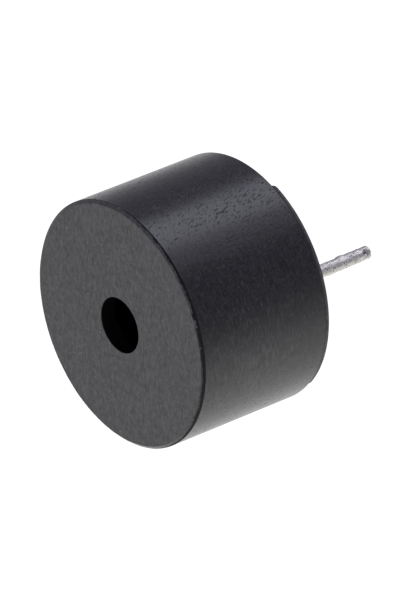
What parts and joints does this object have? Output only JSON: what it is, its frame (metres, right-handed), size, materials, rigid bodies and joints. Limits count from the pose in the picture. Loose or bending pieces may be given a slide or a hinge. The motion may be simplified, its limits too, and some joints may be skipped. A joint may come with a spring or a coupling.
{
  "type": "magnetic buzzer",
  "caption": "Round black magnetic buzzer with a sound hole in its front face and tinned wire pins on its rear, for soldering to a circuit board.",
  "frame": {"origin": "middle of the seating plane, midway between the two pins, where the buzzer meets its circuit board", "axes": "+Z along the body's axis towards the sound hole; -Z along the pins towards their free ends; X along the line through both pins"},
  "size_m": [0.012, 0.012, 0.0122],
  "materials": {
    "case_plastic": "matte",
    "ring_plastic": "matte",
    "soft_iron": "satin",
    "plated_steel": "satin",
    "nickel_iron_foil": "satin",
    "ferrite": "matte",
    "enamelled_wire": "gloss",
    "film": "gloss",
    "circuit_board": "satin",
    "copper_pad": "satin",
    "tinned_pin": "satin",
    "solder": "gloss",
    "epoxy": "gloss"
  },
  "bodies": {
    "root": {"case": "case_plastic", "armature": "soft_iron", "diaphragm": "nickel_iron_foil", "support_ring": "ring_plastic", "ring_magnet": "ferrite", "coil_winding": "enamelled_wire", "insulating_washer": "film", "pole_core": "soft_iron", "yoke_plate": "plated_steel", "base_board": "circuit_board", "sealing_bead": "epoxy", "terminal_pin_1": "tinned_pin", "terminal_pin_2": "tinned_pin", "solder_pad_1": "copper_pad", "solder_pad_2": "copper_pad", "pin_solder_1": "solder", "pin_solder_2": "solder", "coil_lead_1": "enamelled_wire", "coil_lead_2": "enamelled_wire", "lead_solder_1": "solder", "lead_solder_2": "solder"}
  },
  "joints": []
}
